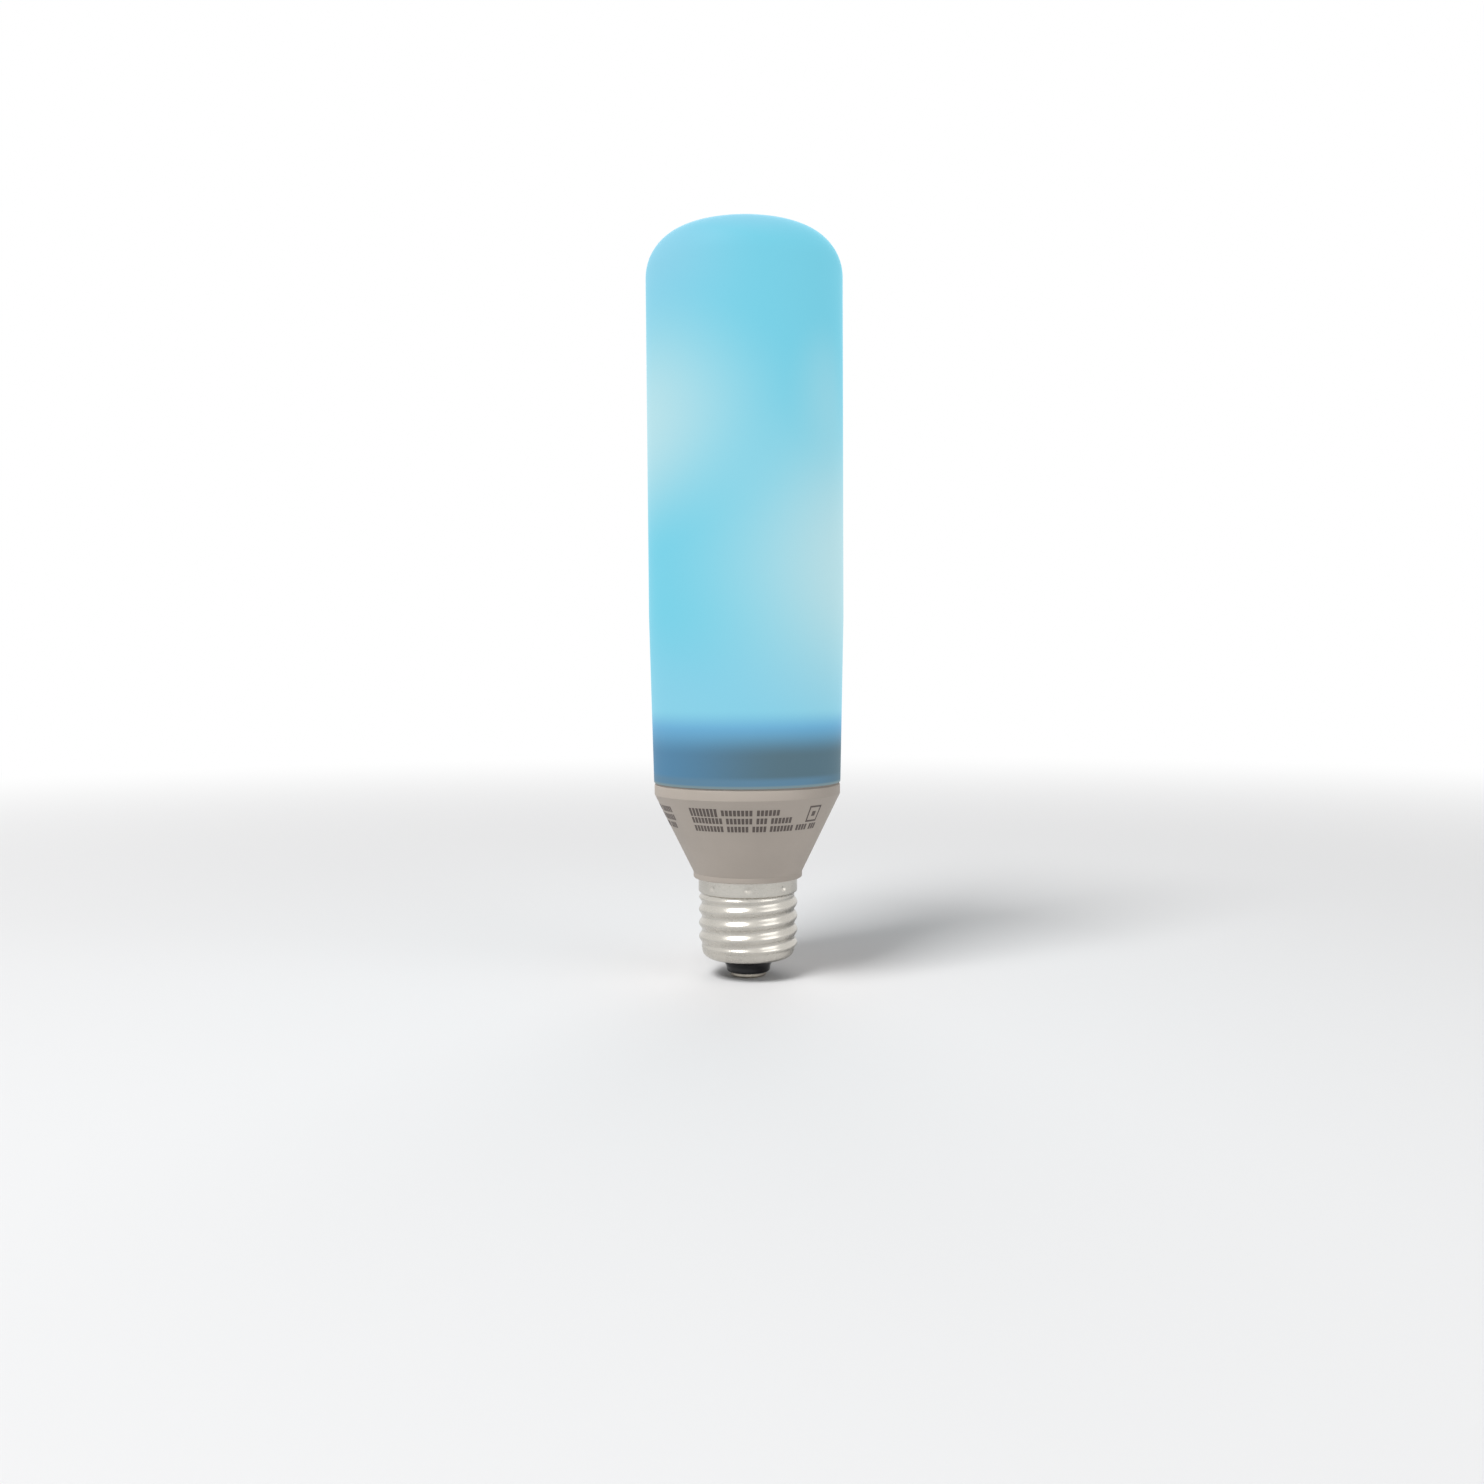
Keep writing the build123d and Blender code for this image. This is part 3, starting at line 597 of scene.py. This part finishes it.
def makeContact():
    low, padTop = contactLow.z, insulatorLow.z
    rimCentre = (contact["pad"] - contact["rimRound"], low + contact["rimHeight"])
    profile = [(contact["rivet"], contactHigh.z), (contact["rivet"], padTop), (contact["pad"], padTop)]
    profile += arcPoints(rimCentre, contact["rimRound"], contact["rimAngle"], -90, contact["rimRings"])
    profile += [(radius, low + height) for radius, height in contact["dish"]]
    drawRings(profile, contact["segments"])
    closeRings()
    tinned = metalFinish("tinnedContact", srgb(*contact["colour"]), 0.3, stretch=(1, 1, 1), scratch=500.0)
    finishPiece("contact_rivet", tinned, "contact_metal", "centre_contact", smoothAngle=40)


makeContact()


# Finishes of the nodes that stay as packed
nodeFinishes = [
    (("diffuser_seal",), plasticFinish("sealSilicone", srgb(150, 143, 136), 0.75, strength=0.4)),
    (("heat_sink_cup", "carrier_plate", "led_post"), metalFinish("millAluminium", srgb(205, 206, 208), 0.38)),
    (("thermal_tape",), plasticFinish("thermalTape", srgb(196, 200, 206), 0.7, grain=700.0)),
    (("led_board", "top_led_board"), boardFinish("whiteBoard", srgb(238, 240, 238), srgb(222, 214, 196))),
    (("side_leds", "top_leds"), plasticFinish("ledResin", srgb(244, 236, 190), 0.22, grain=600.0)),
    (("post_lid", "driver_sleeve", "led_plug"), plasticFinish("whiteMoulding", srgb(226, 226, 220), 0.5)),
    (("plate_screws",), metalFinish("zincScrew", srgb(176, 178, 182), 0.34)),
    (("driver_board", "control_board"), boardFinish("greenBoard", srgb(30, 104, 62), srgb(44, 134, 78))),
    (("board_header", "transformer_bobbin", "switching_chip", "bridge_rectifier", "led_controller"),
     plasticFinish("blackMoulding", srgb(34, 34, 37), 0.45)),
    (("input_capacitor", "output_capacitor"), plasticFinish("canSleeve", srgb(40, 44, 66), 0.3)),
    (("transformer_core", "choke_core"),
     plasticFinish("ferrite", srgb(58, 58, 62), 0.6, grain=900.0, strength=0.5)),
    (("transformer_winding",), windingFinish("windingTape", srgb(232, 196, 64), 500.0, 0.35)),
    (("choke_winding",), windingFinish("copperWinding", srgb(184, 104, 62), 1400.0, 0.25)),
    (("film_capacitor",), plasticFinish("filmCase", srgb(206, 150, 40), 0.35)),
    (("fuse_resistor",), plasticFinish("resistorCoat", srgb(120, 162, 146), 0.55, grain=800.0)),
    (("varistor",), plasticFinish("varistorCoat", srgb(46, 84, 160), 0.4, grain=800.0)),
    (("radio_can",), metalFinish("tinPlate", srgb(200, 202, 204), 0.26)),
    (("neutral_tab",), metalFinish("tinnedTab", srgb(188, 182, 170), 0.3)),
    (("live_lead",), plasticFinish("redWire", srgb(176, 36, 30), 0.4)),
    (("led_lead",), plasticFinish("whiteWire", srgb(224, 224, 218), 0.4)),
]
for nodeNames, finish in nodeFinishes:
    for nodeName in nodeNames:
        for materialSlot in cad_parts[nodeName].material_slots:
            materialSlot.material = finish
print("finishes given to the packed nodes")


# Floor, backdrop and light, in metres
stage = {
    "floorSize": 6.0, "floor": (0.80, 0.80, 0.805, 1.0), "floorRoughness": 0.9, "fade": (0.16, 0.95),
    "world": (1.0, 1.0, 1.0, 1.0), "worldLight": 0.21, "aim": (0.0, 0.0, 0.1),
}
lamps = [
    {"name": "keyLamp", "place": (-0.55, -0.65, 1.25), "size": 0.6, "power": 18.5},
    {"name": "fillLamp", "place": (0.95, -0.65, 0.6), "size": 0.9, "power": 3.0},
    {"name": "backLamp", "place": (0.1, 1.0, 0.8), "size": 0.9, "power": 3.2},
]


def seenDirectly(tree):
    # 1 for rays that show the background itself, also in gloss and glass
    rays = tree.nodes.new("ShaderNodeLightPath").outputs
    both = mathNode(tree, "MAXIMUM", rays["Is Camera Ray"], rays["Is Glossy Ray"])
    return mathNode(tree, "MAXIMUM", both, rays["Is Transmission Ray"])


def makeFloor():
    # Pale paper that fades to the white of the backdrop away from the bulb
    deselectAll()
    bpy.ops.mesh.primitive_plane_add(size=stage["floorSize"])
    floor = bpy.context.object
    floor.name = "studio_floor"
    material, tree, shader, place = newMaterial("floorPaper", stage["floorRoughness"])
    shader.inputs["Base Color"].default_value = stage["floor"]
    distance = tree.nodes.new("ShaderNodeVectorMath")
    distance.operation = "LENGTH"
    tree.links.new(place, distance.inputs[0])
    far = rangeNode(tree, distance.outputs["Value"], stage["fade"])
    white = tree.nodes.new("ShaderNodeEmission")
    blend = tree.nodes.new("ShaderNodeMixShader")
    tree.links.new(mathNode(tree, "MULTIPLY", far, seenDirectly(tree)), blend.inputs[0])
    tree.links.new(shader.outputs[0], blend.inputs[1])
    tree.links.new(white.outputs[0], blend.inputs[2])
    tree.links.new(blend.outputs[0], tree.nodes["Material Output"].inputs["Surface"])
    floor.data.materials.append(material)


def makeWorld():
    # White where it is seen, and a weaker light on the bulb
    world = bpy.data.worlds.new("studioWorld")
    bpy.context.scene.world = world
    world.use_nodes = True
    tree = world.node_tree
    background = tree.nodes["Background"]
    background.inputs["Color"].default_value = stage["world"]
    light = stage["worldLight"]
    strength = mathNode(tree, "MULTIPLY_ADD", seenDirectly(tree), 1.0 - light, light)
    tree.links.new(strength, background.inputs["Strength"])


def makeLamps():
    for lamp in lamps:
        data = bpy.data.lights.new(lamp["name"], "AREA")
        data.shape = "SQUARE"
        data.size = lamp["size"]
        data.energy = lamp["power"]
        light = bpy.data.objects.new(lamp["name"], data)
        light.location = lamp["place"]
        light.rotation_euler = (Vector(stage["aim"]) - light.location).to_track_quat("-Z", "Y").to_euler()
        bpy.context.scene.collection.objects.link(light)


# Camera: place in millimetres, turns in degrees, focal length and the axis's column in pixels of the image
camera = {
    "place": (0.0, -343.2, 80.4), "tilt": 86.95, "roll": 0.355, "focal": 1300.0, "image": 1484.0,
    "axisColumn": 746.6, "sensor": 36.0, "clip": 0.01,
}


def makeCamera():
    data = bpy.data.cameras.new("viewCamera")
    data.sensor_width = camera["sensor"]
    data.lens = camera["focal"] / camera["image"] * camera["sensor"]
    data.shift_x = (camera["image"] / 2 - camera["axisColumn"]) / camera["image"]
    data.clip_start = camera["clip"]
    eye = bpy.data.objects.new("viewCamera", data)
    eye.location = Vector(camera["place"]) * mm
    eye.rotation_euler = (math.radians(camera["tilt"]), math.radians(camera["roll"]), 0)
    bpy.context.scene.collection.objects.link(eye)
    bpy.context.scene.camera = eye


makeFloor()
makeWorld()
makeLamps()
makeCamera()
bpy.context.scene.view_settings.view_transform = "Standard"
print("stage set")
